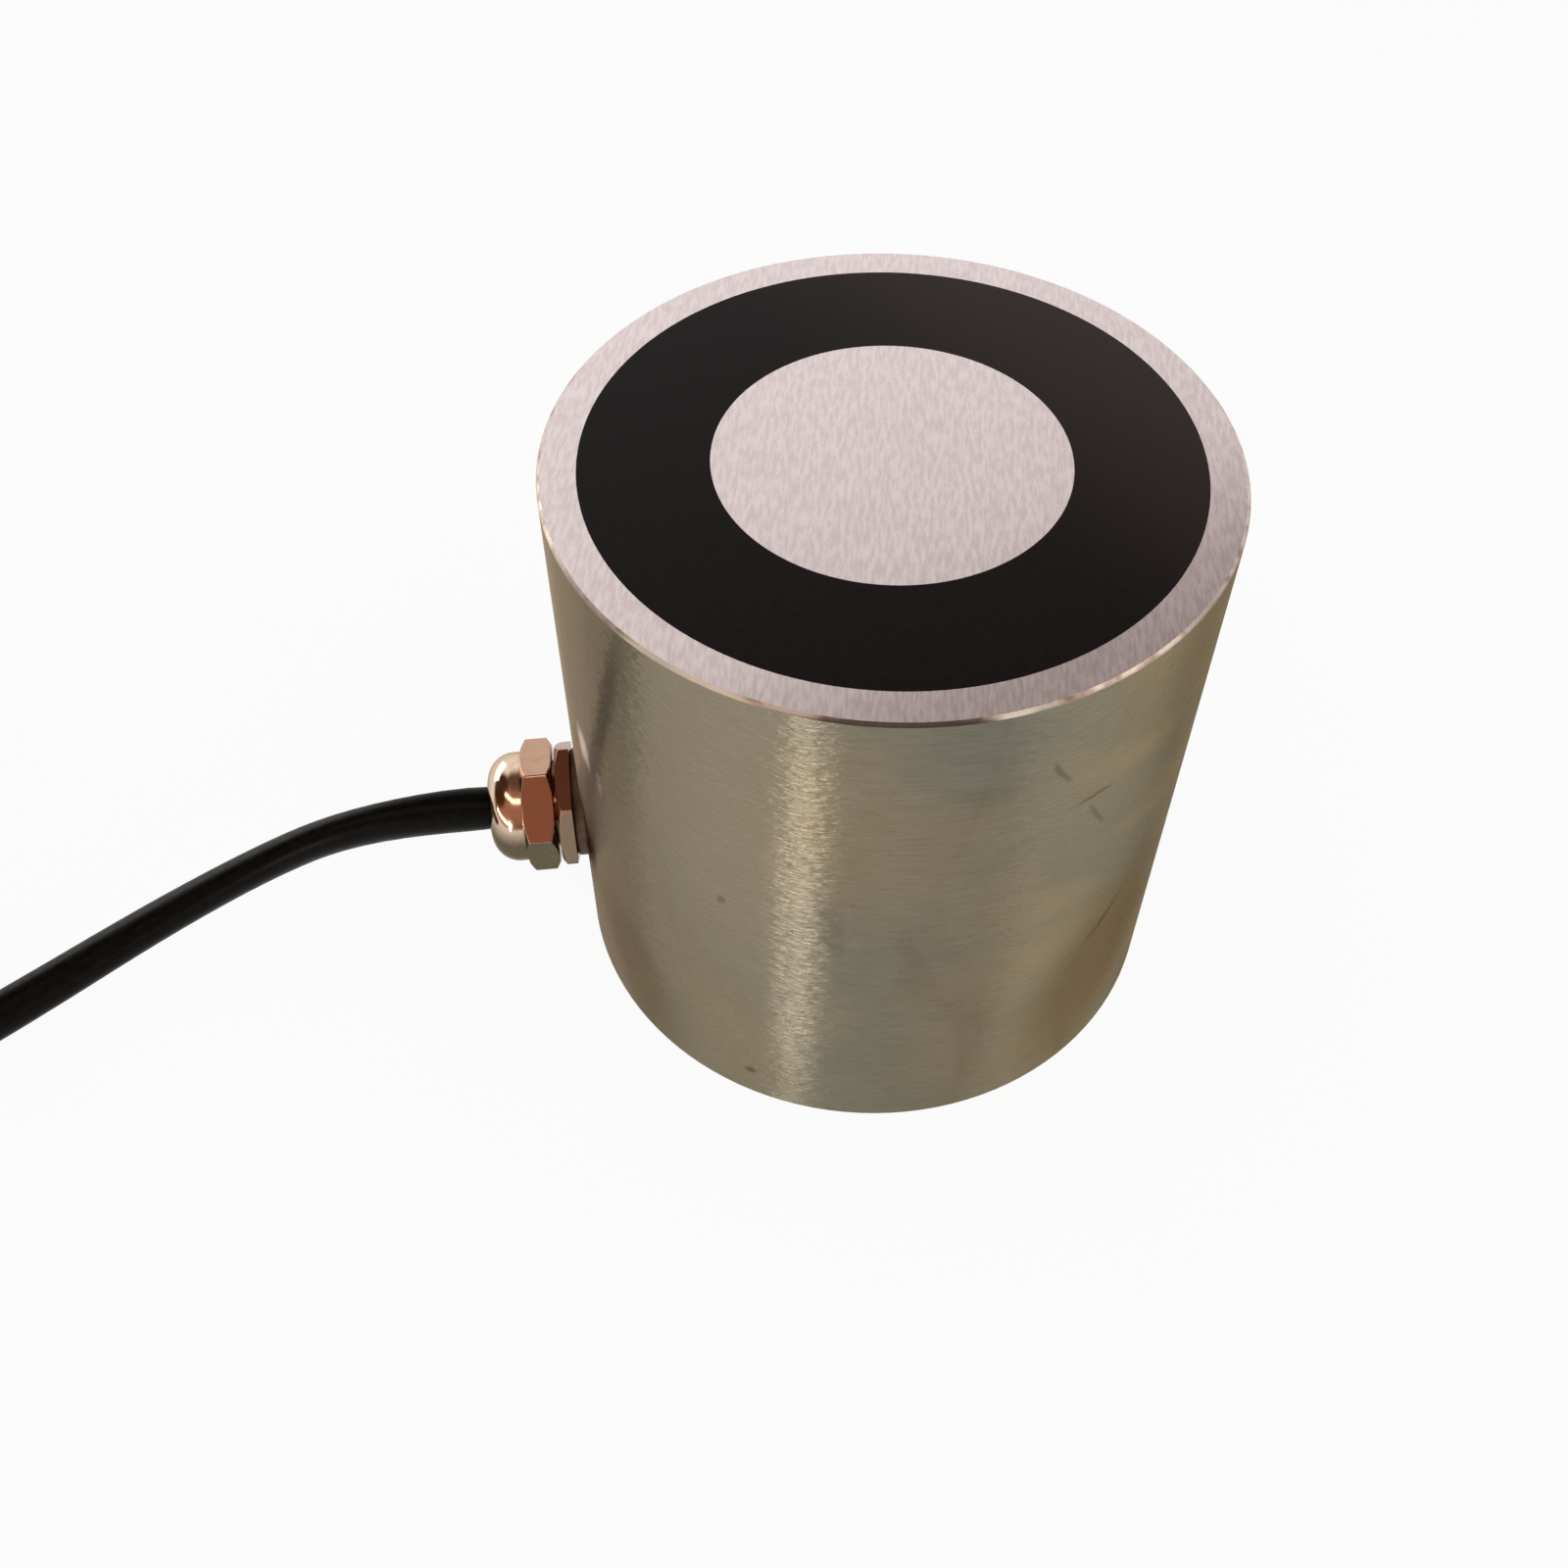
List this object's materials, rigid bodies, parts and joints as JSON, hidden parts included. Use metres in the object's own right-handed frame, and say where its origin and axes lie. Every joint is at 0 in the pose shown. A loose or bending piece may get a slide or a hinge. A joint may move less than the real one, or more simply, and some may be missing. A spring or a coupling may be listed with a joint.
{
  "type": "lifting electromagnet",
  "caption": "Round lifting electromagnet: turned steel pot with a central pole and a resin-sealed coil, a tapped hole in its back and a cable leaving through a domed side gland.",
  "frame": {"origin": "centre of the back face, on the magnet's axis at the mouth of the mounting hole", "axes": "+Z along the magnet's axis from the back face to the pole face, -X out along the cable gland"},
  "size_m": [0.3539, 0.1097, 0.1],
  "materials": {
    "shell_steel": "turned and zinc plated, satin",
    "core_steel": "ground pole face",
    "taped_copper": "copper wire wrapped in tape",
    "black_resin": "matt casting resin",
    "enamelled_copper": "enamelled wire",
    "shrink_sleeve": "shrink sleeve",
    "brown_insulation": "cable core",
    "blue_insulation": "cable core",
    "plated_brass": "nickel plated",
    "black_rubber": "moulded",
    "nylon": "moulded",
    "black_sheath": "extruded",
    "tie_nylon": "moulded",
    "tinned_copper": "tinned"
  },
  "bodies": {
    "root": {"shell": "shell_steel", "pole_core": "core_steel", "winding": "taped_copper", "resin_seal": "black_resin", "start_lead": "enamelled_copper", "finish_lead": "enamelled_copper", "splice_sleeves": "shrink_sleeve", "inner_core_brown": "brown_insulation", "inner_core_blue": "blue_insulation", "gland_body": "plated_brass", "gland_seal": "black_rubber", "gland_claw": "nylon", "gland_bush": "black_rubber", "gland_nut": "plated_brass", "cable_in_gland": "black_sheath", "cable": "black_sheath", "cable_coil": "black_sheath", "coil_tie": "tie_nylon", "tail_core_brown": "brown_insulation", "tail_core_blue": "blue_insulation", "tail_tips": "tinned_copper"}
  },
  "joints": []
}
